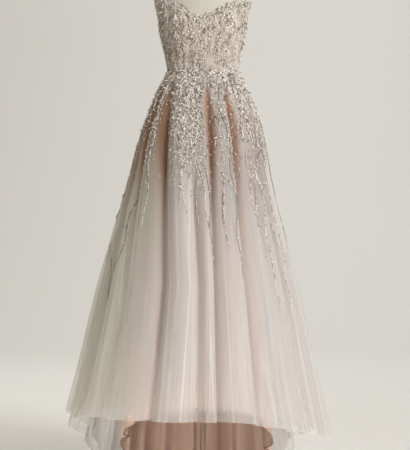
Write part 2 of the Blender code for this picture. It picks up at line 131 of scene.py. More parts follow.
# drop from the waist, depth of the folds
OUTER_FOLDS = (
    (0.0, 0.0), (0.03, 0.005), (0.06, 0.012), (0.10, 0.018), (0.155, 0.026),
    (0.20, 0.031), (0.50, 0.046), (1.35, 0.054),
)
MIDDLE_FOLD_SHARE = 0.85
MIDDLE_CLEARANCE = 0.0025
MIDDLE_FOLDS = tuple((drop, MIDDLE_FOLD_SHARE * depth) for drop, depth in OUTER_FOLDS)
LINING_FOLDS = ((0.0, 0.0), (0.25, 0.0), (0.45, 0.006), (0.80, 0.018), (1.35, 0.032))

# each trough: angle at the waist, angle at the hem, share of the full depth, where it starts,
# and how far the ridge after it leans over sideways
OUTER_TROUGHS = (
    (-180, -180, 0.80, 0.05, 0.5), (-166, -167, 0.65, 0.20, -0.4), (-149, -149, 0.90, 0.08, 0.6),
    (-132, -132, 0.75, 0.02, -0.7), (-115, -115, 0.90, 0.15, 0.4), (-100, -98, 0.70, 0.05, -0.6),
    (-86, -76, 0.80, 0.10, -0.9), (-74, -60, 0.60, 0.22, -0.8), (-61, -44, 0.95, 0.03, -1.0),
    (-45, -24.5, 1.00, 0.00, 0.7), (-14, -3, 0.45, 0.25, 0.3), (5, 5.5, 1.00, 0.00, 0.6),
    (28, 24.5, 0.95, 0.00, 0.9), (43, 39, 0.60, 0.18, 0.8), (60, 54, 0.85, 0.06, -0.5),
    (79, 78, 0.70, 0.12, 0.6), (98, 98, 0.80, 0.03, -0.5), (115, 115, 0.65, 0.20, 0.5),
    (131, 131, 0.90, 0.05, -0.6), (147, 148, 0.45, 0.15, 0.5), (163, 164, 0.90, 0.04, -0.4),
)
# how dense the tulle looks between each trough and the next, from the centre back round the left
FOLD_DENSITY = (
    0.90, 1.00, 0.85, 1.05, 0.90, 1.00, 0.97, 0.95, 0.45, 1.22, 0.70, 0.90, 0.85, 0.75,
    0.80, 0.90, 1.00, 0.85, 1.05, 0.90, 1.00,
)
LINING_TROUGHS = (
    (-180, -172, 0.9, 0.2, 0.4), (-156, -148, 0.8, 0.3, -0.5), (-132, -127, 1.0, 0.2, 0.5),
    (-108, -107, 0.9, 0.2, -0.4), (-84, -84, 1.0, 0.3, 0.7), (-60, -62, 0.8, 0.2, 0.9),
    (-36, -38, 1.0, 0.2, -0.6), (-12, -14, 0.8, 0.4, 0.4), (12, 10, 1.0, 0.2, -0.4),
    (36, 33, 0.9, 0.2, 0.6), (60, 68, 0.9, 0.3, -0.9), (84, 100, 1.0, 0.2, -0.7),
    (108, 126, 0.9, 0.2, 0.4), (132, 150, 0.8, 0.3, -0.5), (156, 168, 1.0, 0.2, 0.5),
)

# angle, height of the hem over the floor, length that lies on the floor
OUTER_HEM = (
    (-180, 0.0, 0.12), (-160, 0.0, 0.10), (-140, 0.0, 0.04), (-115, 0.120, 0.0), (-90, 0.224, 0.0),
    (-60, 0.236, 0.0), (-30, 0.236, 0.0), (0, 0.239, 0.0), (17, 0.232, 0.0), (30, 0.212, 0.0),
    (45, 0.192, 0.0), (70, 0.163, 0.0), (90, 0.145, 0.0), (115, 0.132, 0.0), (132, 0.090, 0.0),
    (150, 0.0, 0.04), (165, 0.0, 0.10), (180, 0.0, 0.12),
)
MIDDLE_HEM_RISE, MIDDLE_TRAIN_SHARE = 0.034, 0.50
LINING_HEM = (
    (-180, 0.0, 0.07), (-160, 0.0, 0.06), (-140, 0.0, 0.03), (-115, 0.040, 0.0), (-90, 0.128, 0.0),
    (-45, 0.226, 0.0), (0, 0.262, 0.0), (40, 0.235, 0.0), (90, 0.125, 0.0), (115, 0.045, 0.0),
    (140, 0.0, 0.03), (160, 0.0, 0.06), (180, 0.0, 0.07),
)
HEM_BAND_HEIGHT = 0.030

# %% [markdown]
# Small helpers
#
# A smooth curve through a table, a piece made from a grid of points, and short ways to add the
# nodes that feed a material's shader.

# %% Curves and grids
def curve_through(table, column, at):
    rows = np.array([row[:4] for row in table], float)
    x, y = rows[:, 0], rows[:, column]
    slopes = np.gradient(y, x)
    i = np.clip(np.searchsorted(x, at) - 1, 0, len(x) - 2)
    step = x[i + 1] - x[i]
    t = np.clip((at - x[i]) / step, 0.0, 1.0)
    start = (1 + 2 * t) * (1 - t) ** 2 * y[i] + t * (1 - t) ** 2 * step * slopes[i]
    end = t * t * (3 - 2 * t) * y[i + 1] + t * t * (t - 1) * step * slopes[i + 1]
    return start + end


def eased(value, start, end):
    t = np.clip((value - start) / (end - start), 0.0, 1.0)
    return t * t * (3 - 2 * t)


def grid_piece(name, points, finish):
    """A sheet from points[row, column], whose last column joins the first one, all round."""
    rows, columns = points.shape[:2]
    along = np.arange(columns)
    after = (along + 1) % columns
    r = np.arange(rows - 1)[:, None] * columns
    quads = np.stack([r + along, r + columns + along, r + columns + after, r + after], axis=-1)
    mesh = bpy.data.meshes.new(name)
    mesh.from_pydata(points.reshape(-1, 3).tolist(), [], quads.reshape(-1, 4).tolist())
    u = np.broadcast_to(np.arange(columns + 1) / columns, (rows, columns + 1))
    v = np.broadcast_to((np.arange(rows) / (rows - 1))[:, None], (rows, columns + 1))
    row, column = np.arange(rows - 1)[:, None], along[None, :]
    corners = [(row + down, column + on) for down, on in ((0, 0), (1, 0), (1, 1), (0, 1))]
    uv = np.stack([np.stack([u[corner], v[corner]], axis=-1) for corner in corners], axis=2)
    layer = mesh.uv_layers.new(name="cloth")
    layer.data.foreach_set("uv", uv.reshape(-1).astype(np.float32))
    mesh.shade_smooth()
    mesh.materials.append(finish)
    piece = bpy.data.objects.new(name, mesh)
    bpy.context.collection.objects.link(piece)
    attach(piece, "root")
    return piece


def thickened(piece, wall):
    solid = piece.modifiers.new("Wall", "SOLIDIFY")
    solid.thickness = wall
    solid.offset = -1.0
    return piece


def area_of(piece):
    mesh = piece.data
    areas = np.empty(len(mesh.polygons))
    mesh.polygons.foreach_get("area", areas)
    return float(areas.sum())


# %% Nodes of a material
def set_inputs(node, **values):
    """Sets a node's inputs by their names, with _ for a space."""
    for key, value in values.items():
        node.inputs[key.replace("_", " ")].default_value = value
    return node


def noise_on(tree, coords, stretch, **values):
    """Noise over a piece's Object coordinates or its UV map, stretched."""
    where = tree.nodes.new("ShaderNodeTexCoord")
    mapping = set_inputs(tree.nodes.new("ShaderNodeMapping"), Scale=stretch)
    noise = set_inputs(tree.nodes.new("ShaderNodeTexNoise"), **values)
    tree.links.new(where.outputs[coords], mapping.inputs["Vector"])
    tree.links.new(mapping.outputs["Vector"], noise.inputs["Vector"])
    return noise.outputs["Fac"]


def ranged(tree, source, **limits):
    """A value carried from one range over to another."""
    node = set_inputs(tree.nodes.new("ShaderNodeMapRange"), **limits)
    tree.links.new(source, node.inputs["Value"])
    return node.outputs["Result"]


def mixed(tree, factor, first, second):
    """A mix of two colors. Each is fixed, or comes from another node."""
    mix = tree.nodes.new("ShaderNodeMix")
    mix.data_type = "RGBA"
    tree.links.new(factor, mix.inputs["Factor"])
    for name, color in (("A", first), ("B", second)):
        if isinstance(color, tuple):
            mix.inputs[name].default_value = (*color, 1.0)
        else:
            tree.links.new(color, mix.inputs[name])
    return mix.outputs["Result"]


def worked_out(tree, operation, *terms):
    """A Math node. Each term is a number, or comes from another node."""
    node = tree.nodes.new("ShaderNodeMath")
    node.operation = operation
    for socket, term in zip(node.inputs, terms):
        if isinstance(term, float):
            socket.default_value = term
        else:
            tree.links.new(term, socket)
    return node.outputs["Value"]


# %% [markdown]
# The finishes
#
# Satin is a plain color with a soft gloss and a little unevenness. Net could be made with real
# holes, but they are far smaller than a pixel, so here it is a sheet that lets a share of the light
# through. That share changes over the cloth: folds and gathers lie close and hide more.

# %% Materials
def material(name, color, roughness, metallic=0.0, alpha=1.0, **more):
    made = bpy.data.materials.new(name)
    made.use_nodes = True
    set_inputs(made.node_tree.nodes["Principled BSDF"], Base_Color=(*color, 1.0), Roughness=roughness,
               Metallic=metallic, Alpha=alpha, **more)
    return made


def mottled(made, scale, low, high, stretch):
    """The base color wanders between two colors."""
    tree = made.node_tree
    ramp = tree.nodes.new("ShaderNodeValToRGB")
    ends = ramp.color_ramp.elements
    ends[0].position, ends[1].position = 0.35, 0.65
    ends[0].color, ends[1].color = (*low, 1.0), (*high, 1.0)
    tree.links.new(noise_on(tree, "Object", stretch, Scale=scale, Detail=4.0), ramp.inputs["Fac"])
    tree.links.new(ramp.outputs["Color"], tree.nodes["Principled BSDF"].inputs["Base Color"])


def fading_in(made, color, start, end):
    """The base color starts as another one at the sheet's top edge and fades into its own."""
    tree = made.node_tree
    socket = tree.nodes["Principled BSDF"].inputs["Base Color"]
    own = socket.links[0].from_socket
    where, split = tree.nodes.new("ShaderNodeTexCoord"), tree.nodes.new("ShaderNodeSeparateXYZ")
    tree.links.new(where.outputs["UV"], split.inputs["Vector"])
    share = ranged(tree, split.outputs["Y"], From_Min=start, From_Max=end)
    tree.links.new(mixed(tree, share, color, own), socket)


def bumped(made, scale, strength, distance, stretch=(1.0, 1.0, 1.0)):
    tree = made.node_tree
    bump = set_inputs(tree.nodes.new("ShaderNodeBump"), Strength=strength, Distance=distance)
    tree.links.new(noise_on(tree, "Object", stretch, Scale=scale, Detail=3.0), bump.inputs["Height"])
    tree.links.new(bump.outputs["Normal"], tree.nodes["Principled BSDF"].inputs["Normal"])


def by_fold(made, shaded_color, ridge_color, dull_color, trough_alpha, ridge_alpha, streaks):
    """Tulle that is fine in its troughs and milky on the ridges, with deep shade high in the folds.
    It takes a painted shade tint where it turns from the light. Gathers run down it as streaks and thin
    creases, which are denser than the cloth between them."""
    tree = made.node_tree
    notes = {}
    for name in ("fold", "shade", "dull"):
        node = tree.nodes.new("ShaderNodeAttribute")
        node.attribute_name = name
        notes[name] = node.outputs["Fac"]
    # on the side that turns from the light the colour takes a painted shade tint
    side_tinted_color = mixed(tree, notes["dull"], ridge_color, dull_color)
    color = mixed(tree, notes["shade"], side_tinted_color, shaded_color)
    cover = ranged(tree, notes["fold"], To_Min=trough_alpha, To_Max=ridge_alpha)
    fine, broad = (streaks, 1.6, 1.0), (streaks * 0.16, 1.1, 1.0)
    for stretch, low, high in ((fine, 0.90, 1.12), (broad, 0.76, 1.25)):
        noise = noise_on(tree, "UV", stretch, Scale=1.0, Detail=4.0, Roughness=0.6)
        density = ranged(tree, noise, From_Min=0.36, From_Max=0.66, To_Min=low, To_Max=high)
        cover = worked_out(tree, "MULTIPLY", cover, density)
    # thin sharp creases run where one more noise crosses its middle value
    noise = noise_on(tree, "UV", (streaks * 0.24, 0.55, 1.0), Scale=1.0, Detail=1.0)
    off_middle = worked_out(tree, "ABSOLUTE", worked_out(tree, "SUBTRACT", noise, 0.5))
    crease = ranged(tree, off_middle, From_Max=0.030, To_Min=1.45, To_Max=1.0)
    cover = worked_out(tree, "MULTIPLY", cover, crease)
    # shaded folds are closed up, so less can be seen through them
    cover = worked_out(tree, "MULTIPLY_ADD", notes["shade"], 0.70, cover)
    shader = tree.nodes["Principled BSDF"]
    tree.links.new(color, shader.inputs["Base Color"])
    tree.links.new(cover, shader.inputs["Alpha"])


SATIN_STRETCH = (60.0, 60.0, 2.0)
# each net's colours: painted shade in the troughs, its own ridge colour, and a painted shade tint for the
# side turned from the light
outer_tulle = material("outer_tulle", (0.80, 0.785, 0.76), 0.9, Sheen_Weight=0.15)
by_fold(outer_tulle, (0.29, 0.165, 0.105), (0.75, 0.725, 0.72), (0.77, 0.755, 0.68),
        trough_alpha=0.20, ridge_alpha=0.46, streaks=150.0)
middle_tulle = material("middle_tulle", (0.78, 0.755, 0.72), 0.9, Sheen_Weight=0.15)
by_fold(middle_tulle, (0.31, 0.175, 0.115), (0.75, 0.725, 0.715), (0.77, 0.755, 0.675),
        trough_alpha=0.22, ridge_alpha=0.49, streaks=100.0)
hem_tulle = material("hem_tulle", (0.76, 0.73, 0.68), 0.9, alpha=0.10)
satin = material("blush_satin", (0.79, 0.56, 0.445), 0.42, Sheen_Weight=0.3)
bumped(satin, 1.0, 0.25, 0.001, stretch=SATIN_STRETCH)
nude = material("nude_satin", (0.46, 0.35, 0.29), 0.55)
mottled(nude, 60.0, (0.34, 0.265, 0.215), (0.66, 0.58, 0.51), stretch=(1.0, 1.0, 0.4))
fading_in(nude, (0.58, 0.54, 0.46), 0.02, 0.17)
zip_cover = material("zip_cover", (0.50, 0.415, 0.36), 0.5)
bumped(zip_cover, 1.0, 0.25, 0.001, stretch=SATIN_STRETCH)
bound_edge = material("satin_hem_edge", (0.30, 0.17, 0.12), 0.5)
linen = material("cream_linen", (0.56, 0.535, 0.47), 0.9)
bumped(linen, 900.0, 0.35, 0.0006)
steel = material("bronzed_steel", (0.42, 0.30, 0.23), 0.65, metallic=0.50)
silver = material("silver_thread", (0.86, 0.80, 0.73), 0.35, metallic=0.18)
old_silver = material("old_silver", (0.28, 0.23, 0.19), 0.32, metallic=0.55)
pearl = material("pearl_beads", (0.90, 0.855, 0.805), 0.25, metallic=0.18)
crystal = material("crystals", (0.95, 0.94, 0.92), 0.08, metallic=0.70)
print("materials", len(bpy.data.materials))

# %% [markdown]
# The dress form
#
# A tailor's torso under linen, with no arms. It isn't round, so it is no turned shape: rows of
# points follow the figure's own sections. The cover is cut in long panels, and a shallow groove
# follows each of their seams.

# %% Torso
FORM_SEAMS = (-142.0, -90.0, -38.0, 0.0, 38.0, 90.0, 142.0, 180.0)
SEAM_DEPTH, SEAM_HALF_WIDTH = 0.0008, 1.6


def wrapped(angle):
    return (angle + 180.0) % 360.0 - 180.0


def body_points(angle, height, outwards=0.0):
    """Points on the figure's surface, moved outwards, for arrays of angles and heights."""
    turn = np.radians(angle)
    across = wrapped(angle)
    cup = 0.0
    for side in (-CUP_ANGLE, CUP_ANGLE):
        round_it = ((across - side) / CUP_ANGLE_SPREAD) ** 2
        up_it = ((height - CUP_HEIGHT) / CUP_HEIGHT_SPREAD) ** 2
        cup = cup + CUP_DEPTH * np.exp(-round_it - up_it)
    front, back = curve_through(BODY, 2, height), curve_through(BODY, 3, height)
    depth = np.where(np.cos(turn) > 0, front, back) + outwards
    side = curve_through(BODY, 1, height) + outwards
    x = side * np.sin(turn) + cup * np.sin(turn) * 0.6
    y = -depth * np.cos(turn) - cup * np.cos(turn)
    return np.stack([x, y, WAIST_Z + height + 0.0 * x], axis=-1)


angles = np.arange(120) * 3.0 - 180.0
heights = np.linspace(BODY[-1][0], BODY[0][0], 90)
around, up = np.meshgrid(angles, heights)
away_from_seam = np.min([np.abs(wrapped(around - seam)) for seam in FORM_SEAMS], axis=0)
groove = -SEAM_DEPTH * np.exp(-((away_from_seam / SEAM_HALF_WIDTH) ** 2))
torso = grid_piece("form_torso_linen", body_points(around, up, groove), linen)
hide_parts("form_torso")
print("torso faces", len(torso.data.polygons))

# %% Ends, neck cap and stand
finishes = {"neck_cap": linen, "stand_pole": steel, "stand_base": steel, "back_zip": zip_cover}
for name, finish in finishes.items():
    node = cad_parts[name]
    node.data.materials.clear()
    node.data.materials.append(finish)
# a thin plate closes the torso below, just inside its lowest section
PLATE_THICKNESS, PLATE_INSET, PLATE_RISE = 0.004, 0.001, 0.0025
lowest, half_width, half_front, half_back = BODY[0]
bpy.ops.mesh.primitive_cylinder_add(vertices=96, radius=1.0, depth=PLATE_THICKNESS,
                                    location=(0, 0, WAIST_Z + lowest + PLATE_RISE))
underside = bpy.context.object
underside.name = "form_underside"
underside.scale = (half_width - PLATE_INSET, (half_front + half_back) / 2 - PLATE_INSET, 1.0)
underside.location.y = (half_back - half_front) / 2
bpy.ops.object.transform_apply(location=True, rotation=True, scale=True)
underside.data.materials.append(linen)
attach(underside, "root")

# %% [markdown]
# How a skirt falls
#
# At each angle the cloth follows one line down: its slope, a bend at the floor, and the floor
# itself. Across the line it is folded. A big fold sinks towards the body in its troughs, its ridge
# may lean over sideways, and fine creases ride on top.

# %% Skirt surfaces
def ridge_of(table, lean, lean_from, lean_full):
    """How far out the ridges of a skirt's folds are, to the side and to the front or back."""
    def ridge(angle, drop):
        front, back = curve_through(table, 2, drop), curve_through(table, 3, drop)
        swing = lean * eased(drop, lean_from, lean_full)
        side = curve_through(table, 1, drop) * (1.0 - swing * np.sin(np.radians(angle)))
        return side, np.where(np.abs(wrapped(angle)) < 90, front, back)
    return ridge


ridge_outer = ridge_of(OUTER_SKIRT, OUTER_LEAN, OUTER_LEAN_FROM, OUTER_LEAN_FULL)
ridge_lining = ridge_of(LINING_SKIRT, LINING_LEAN, LINING_LEAN_FROM, LINING_LEAN_FULL)


def ridge_middle(angle, drop):
    side, depth = ridge_outer(angle, drop)
    inset = (1.0 - MIDDLE_FOLD_SHARE) * curve_through(OUTER_FOLDS, 1, drop) + SKIRT_WALL + SEAM_GAP
    inset = inset + MIDDLE_CLEARANCE * (eased(drop, 0.02, 0.16) + 5 * eased(drop, 0.95, 1.25))
    return side - inset, depth - inset


def fall_line(ridge, angle, floor):
    """Rows of length so far, distance out, height and lean, and the length at the bend's ends."""
    turn = math.radians(angle)
    drops = np.linspace(3 * SEAM_GAP, WAIST_Z - floor, 90)
    side, depth = ridge(angle + 0.0 * drops, drops)
    outs = np.hypot(side * math.sin(turn), depth * math.cos(turn))
    leans = np.arctan(np.gradient(outs, drops))
    bend_from = floor + FLOOR_BEND_RADIUS * (1 - math.sin(leans[-8]))
    line = [row for row in zip(outs, WAIST_Z - drops, leans) if row[1] > bend_from]
    out, height, lean = line[-1]
    radius = (height - floor) / (1 - math.sin(lean))
    step = (math.pi / 2 - lean) / 12
    for number in range(12):
        middle = lean + step * (number + 0.5)
        out = out + radius * step * math.sin(middle)
        height = height - radius * step * math.cos(middle)
        line.append((out, height, middle + step / 2))
    line += [(out + far, height, math.pi / 2) for far in np.linspace(0.02, 0.40, 20)]
    line = np.array(line)
    along = np.concatenate([[0.0], np.cumsum(np.hypot(np.diff(line[:, 0]), np.diff(line[:, 1])))])
    return np.column_stack([along, line]), along[-33], along[-21]


class Skirt:
    """A skirt's surface. q counts its folds round from the centre back, v goes from 0 at the
    waist to 1 at the hem."""

    def __init__(self, ridge, folds, troughs, floor, hem, creases,
                 ripple=0.0, rise=0.0, train_share=1.0):
        self.ridge, self.folds, self.creases, self.ripple = ridge, folds, creases, ripple
        self.count = len(troughs)
        rows = np.array(troughs + ((troughs[0][0] + 360, troughs[0][1] + 360, *troughs[0][2:]),))
        self.at_waist, self.at_hem, self.share, self.starts, self.slant = rows.T
        self.steps = np.linspace(0.0, 1.95, 391)
        lines = [fall_line(ridge, a, floor) for a in range(-180, 181)]
        self.lines = np.array([[np.interp(self.steps, line[:, 0], line[:, k]) for k in (1, 2, 3)]
                               for line, _, _ in lines])
        self.lengths = []
        for angle, height, train in hem:
            line, _, lies = lines[int(angle) + 180]
            length = lies + min(train * train_share, train - rise)
            if train == 0:
                length = np.interp(-(height + rise), -line[:, 2], line[:, 0])
            self.lengths.append((angle, length))

    def angle(self, q, v):
        whole = np.arange(self.count + 1)
        waist, hem = np.interp(q, whole, self.at_waist), np.interp(q, whole, self.at_hem)
        return waist + (hem - waist) * np.minimum(v * 1.6, 1.0)

    def length(self, q):
        return curve_through(self.lengths, 1, wrapped(self.angle(q, 1.0)))

    def fold_at(self, q, v):
        """The share that the cloth is raised by, and how deep this fold is here."""
        index = np.clip(np.floor(q).astype(int), 0, self.count - 1)
        across = q - index
        depths = [self.share[i] * eased(v, self.starts[i] - 0.05, self.starts[i] + 0.20)
                  for i in (index, index + 1)]
        depth = depths[0] + (depths[1] - depths[0]) * across
        return 1.0 - depth * (1.0 - np.sin(math.pi * across) ** FOLD_ROUNDNESS), depth

    def from_trough(self, q, v, s):
        """Metres round the skirt to the middle of the nearest trough, and how deep that one is."""
        nearest = np.clip(np.round(q).astype(int), 0, self.count)
        here, middle = self.angle(q, v), self.angle(nearest.astype(float), v)
        side, depth = self.ridge(here, np.minimum(s, 1.30))
        turn = np.radians(here)
        radius = np.hypot(side * np.sin(turn), depth * np.cos(turn))
        start = self.starts[nearest]
        deep = self.share[nearest] * eased(v, start - 0.05, start + 0.12)
        return np.radians(np.abs(here - middle)) * radius, deep

    def creased(self, q, v, s):
        """Fine creases: for each row of the table, so many round the skirt and so high."""
        total = 0.0 * q
        turn = q / self.count
        for number, (count, at_waist, at_hem, sharp) in enumerate(self.creases):
            rng = np.random.default_rng(40 + number)
            knots = rng.uniform(0.15, 1.0, 64)
            strength = np.interp(turn * 63, np.arange(64), knots)
            swing = 0.35 * np.sin(2 * math.pi * (turn * 9 + 0.7 * v + 0.31 * number))
            wave = 1.0 - np.abs(np.sin(math.pi * count * turn + swing + number)) ** sharp
            total = total + (at_waist + (at_hem - at_waist) * np.clip(s / 1.1, 0, 1)) * strength * wave
        return total * eased(s, 0.0, 0.02)

    def points(self, q, v, lift=0.0):
        q, v = np.broadcast_arrays(np.asarray(q, float), np.asarray(v, float))
        s = v * self.length(q)
        angle = self.angle(q, v)
        raised, deep = self.fold_at(q, v)
        depth = curve_through(self.folds, 1, np.minimum(s, 1.35))
        a = (angle + 180.0) % 360.0
        a0 = np.minimum(a.astype(int), 359)
        b = s / (self.steps[1] - self.steps[0])
        b0 = np.minimum(b.astype(int), len(self.steps) - 2)
        fa, fb = (a - a0)[..., None], (b - b0)[..., None]
        grid = self.lines.transpose(0, 2, 1)
        low = grid[a0, b0] * (1 - fb) + grid[a0, b0 + 1] * fb
        high = grid[a0 + 1, b0] * (1 - fb) + grid[a0 + 1, b0 + 1] * fb
        out, height, lean = np.moveaxis(low * (1 - fa) + high * fa, -1, 0)
        lying = eased(lean, math.radians(22), math.radians(60))
        out = out - depth * (1.0 - raised) * (1.0 - lying)
        fine = self.creased(q, v, s)
        out = out + (fine + lift) * (1.0 - lying)
        height = height + (self.ripple * raised + 0.5 * np.abs(fine) + lift) * lying
        side, deep_half = self.ridge(angle, np.minimum(s, 1.30))
        turn = np.radians(angle)
        x, y = side * np.sin(turn), -deep_half * np.cos(turn)
        size = np.hypot(x, y)
        centres = np.arange(self.count + 1) + 0.5
        slant = np.interp(q, centres, self.slant, period=self.count)
        sideways = slant * depth * (raised - 1.0 + deep) * (1.0 - lying)
        x, y = x / size, y / size
        return np.stack([x * out - y * sideways, y * out + x * sideways, height], axis=-1)


# on the floor the skirts lie on each other, with a little air between them
OUTER_AIR, MIDDLE_AIR = 0.0006, 0.0003
outer_floor = FLOOR_CLEARANCE + 3 * SKIRT_WALL + 2 * SEAM_GAP + OUTER_AIR
middle_floor = FLOOR_CLEARANCE + 2 * SKIRT_WALL + SEAM_GAP + MIDDLE_AIR
lining_floor = FLOOR_CLEARANCE + SKIRT_WALL
# the creases' rows: number round the skirt, height at the waist and at the hem, sharpness
outer = Skirt(ridge_outer, OUTER_FOLDS, OUTER_TROUGHS, outer_floor, OUTER_HEM,
              ((47, 0.0010, 0.0045, 0.8), (109, 0.0005, 0.0011, 0.7)),
              ripple=FLOOR_RIPPLE)
middle = Skirt(ridge_middle, MIDDLE_FOLDS, OUTER_TROUGHS, middle_floor, OUTER_HEM,
               ((41, -0.0004, -0.0050, 0.8), (97, -0.0002, -0.0020, 0.7)),
               rise=MIDDLE_HEM_RISE, train_share=MIDDLE_TRAIN_SHARE)
lining = Skirt(ridge_lining, LINING_FOLDS, LINING_TROUGHS, lining_floor, LINING_HEM,
               ((34, 0.0, -0.0060, 1.6),))


def mark_folds(piece, skirt, q, v):
    """Notes three shares on each corner of the sheet, for its material: how dense the cloth looks,
    from a trough to a ridge, how much painted shade gathers there, and how strong the painted shade
    tint is on the side that turns from the light."""
    q, v = np.broadcast_arrays(q, v)
    raised, _ = skirt.fold_at(q, v)
    s = v * skirt.length(q)
    angle = wrapped(skirt.angle(q, v))
    # shade lies along each trough, most of all high up, where the folds are close together
    away, deep = skirt.from_trough(q, v, s)
    wide = 0.005 + 0.012 * eased(s, 0.02, 0.16) - 0.006 * eased(s, 0.22, 0.50)
    high_up = eased(s, 0.01, 0.06) * (0.15 + 0.85 * (1.0 - eased(s, 0.20, 0.72)))
    shade = 1.15 * np.exp(-((away / wide) ** 2)) * deep * high_up
    # it covers the hip on the side that turns from the light
    turned_away = 0.80 * eased(-angle, 30.0, 70.0) * (1.0 - 0.75 * eased(-angle, 95.0, 125.0))
    shade = np.minimum(shade + turned_away * (1.0 - eased(s, 0.15, 0.60)), 1.0)
    # the cloth looks thin under the beads, denser towards the knee, and thin again near the hem
    # and on the side to the viewer's right
    airy = eased(angle, 24.0, 50.0) * eased(s, 0.15, 0.45)
    sheer = (0.52 + 0.48 * eased(s, 0.22, 0.74)) * (1.0 - 0.45 * airy)
    sheer = sheer * (1.0 - 0.4 * eased(v, 0.75, 1.0))
    dense = np.array(FOLD_DENSITY)[np.clip(np.floor(q).astype(int), 0, len(FOLD_DENSITY) - 1)]
    shade = np.clip(shade + 0.20 * (1.0 - dense) * eased(raised, 0.1, 0.6), 0.0, 1.0)
    # the side that turns from the light takes a painted shade tint
    dull = eased(-angle, 24.0, 36.0) * (1.0 - eased(-angle, 100.0, 150.0))
    notes = {"fold": eased(raised, 0.15, 0.90) * sheer * dense, "shade": shade, "dull": dull}
    for name, values in notes.items():
        layer = piece.data.attributes.new(name, "FLOAT", "POINT")
        layer.data.foreach_set("value", values.reshape(-1).astype(np.float32))


def skirt_grid(skirt, per_fold, rows, v_from=0.0, v_to=1.0):
    q = np.arange(skirt.count * per_fold) / per_fold
    share = np.linspace(0.0, 1.0, rows)[:, None]
    low, high = (np.asarray(x(q) if callable(x) else x) for x in (v_from, v_to))
    return q, low + (high - low) * share


# %% [markdown]
# The three skirts
#
# A satin lining hangs next to the stand, and two layers of net over it. A cloth simulation could
# drape them, but the folds have to lie where the photo shows them, so each skirt is a grid that is
# worked out. The lining gets a wall, whose edge shows at its bound hem. Net is too thin for one.

# %% Lining
BOUND_EDGE_WIDTH = 0.0035
q, v = skirt_grid(lining, per_fold=18, rows=80)
v = np.broadcast_to(v, (len(v), len(q)))
v = np.concatenate([v[:-1], 1.0 - BOUND_EDGE_WIDTH / lining.length(q)[None, :], v[-1:]])
lining_piece = thickened(grid_piece("satin_lining", lining.points(q, v), satin), SKIRT_WALL)
lining_piece.data.materials.append(bound_edge)
last_row = np.arange(len(lining_piece.data.polygons)) >= len(q) * (len(v) - 2)
lining_piece.data.polygons.foreach_set("material_index", last_row.astype(np.int32))
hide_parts("lining_back_left", "lining_side_left", "lining_front",
            "lining_side_right", "lining_back_right")
print("lining area", round(area_of(lining_piece), 2))

# %% Middle tulle
# it is cut this much longer than the way down to its hem
MIDDLE_LONGER = 1.006
q, v = skirt_grid(middle, per_fold=18, rows=90)
middle_piece = grid_piece("middle_tulle_skirt", middle.points(q, v * MIDDLE_LONGER), middle_tulle)
mark_folds(middle_piece, middle, q, v)
places = ("back_left", "side_left", "front_left", "front", "front_right", "side_right", "back_right")
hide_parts(*("tulle_middle_" + place for place in places))
print("middle area", round(area_of(middle_piece), 2))

# %% Outer tulle and its doubled hem
q, v = skirt_grid(outer, per_fold=20, rows=120)
outer_piece = grid_piece("outer_tulle_skirt", outer.points(q, v), outer_tulle)
mark_folds(outer_piece, outer, q, v)
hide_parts(*("tulle_outer_" + place for place in places))
BAND_BEHIND = 0.0015
q, v = skirt_grid(outer, per_fold=20, rows=5, v_from=lambda q: 1.0 - HEM_BAND_HEIGHT / outer.length(q),
                  v_to=0.9995)
band_piece = grid_piece("doubled_hem", outer.points(q, v, lift=-BAND_BEHIND), hem_tulle)
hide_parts(*("hem_band_" + place for place in places))
print("outer area", round(area_of(outer_piece), 2), "band", round(area_of(band_piece), 3))

# %% [markdown]
# The bodice
#
# Seven boned panels of nude satin that follow the figure. The same points as the torso's carry
# them, moved outwards, so they fit it closely. The wall is raised where the beaded vines climb, and
# a shallow groove marks each seam. Its top edge is the sweetheart line.

# %% Bodice
BODICE_SEAM_DEPTH, BODICE_SEAM_SHARE = 0.0007, 0.03
BODICE_COLUMNS, BODICE_ROWS = 336, 44


def bodice_points(angle, share):
    edge = curve_through(TOP_EDGE, 1, np.abs(wrapped(angle)))
    height = SEAM_GAP / 2 + share * (edge - SEAM_GAP / 2)
    carried = np.cos(math.pi * VINES * (angle + 180.0) / 360.0 + 0.5 * np.sin(7 * share)) ** 2
    carried = carried * eased(180.0 - np.abs(wrapped(angle)), 3.0, 9.0)
    panel = (angle + 180.0) * PANELS / 360.0
    seam = np.abs(panel - np.round(panel))
    outwards = FORM_GAP + BODICE_WALL + BEADING_RELIEF * carried
    outwards = outwards - BODICE_SEAM_DEPTH * np.exp(-((seam / BODICE_SEAM_SHARE) ** 2))
    return body_points(angle, height, outwards)


around, share = np.meshgrid(np.arange(BODICE_COLUMNS) * 360.0 / BODICE_COLUMNS - 180.0,
                            np.linspace(1.0, 0.0, BODICE_ROWS))
bodice = thickened(grid_piece("bodice_satin", bodice_points(around, share), nude), BODICE_WALL)
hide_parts("bodice_back_left", "bodice_side_back_left", "bodice_side_front_left",
            "bodice_centre_front", "bodice_side_front_right", "bodice_side_back_right",
            "bodice_back_right")
print("bodice area", round(area_of(bodice), 3))

# %% [markdown]
# The embroidery
#
# Every spot on the dress has a place (angle at the waist, length below the waist). Branches grow
# down from the bodice in those places, fork, and thin out. Each carries leaves, small beads along
# its stem and a few crystals. Thousands of them can't be set by hand, and a rule with a fixed seed
# gives the same dress each run. They are copies of four little shapes, joined into a few pieces.

# %% Shapes of the beads
def bead_shape(width, length, height, segments, rings):
    """A low sphere, squeezed, as an array of corners and an array of triangles."""
    bpy.ops.mesh.primitive_uv_sphere_add(segments=segments, ring_count=rings, radius=0.5)
    made = bpy.context.object
    made.rotation_euler = (math.pi / 2, 0.0, 0.0)
    bpy.ops.object.transform_apply(location=True, rotation=True, scale=True)
    mesh = made.data
    mesh.calc_loop_triangles()
    corners = np.array([tuple(p.co) for p in mesh.vertices]) * (width, length, height)
    faces = np.array([tuple(t.vertices) for t in mesh.loop_triangles])
    bpy.data.objects.remove(made)
    return corners, faces


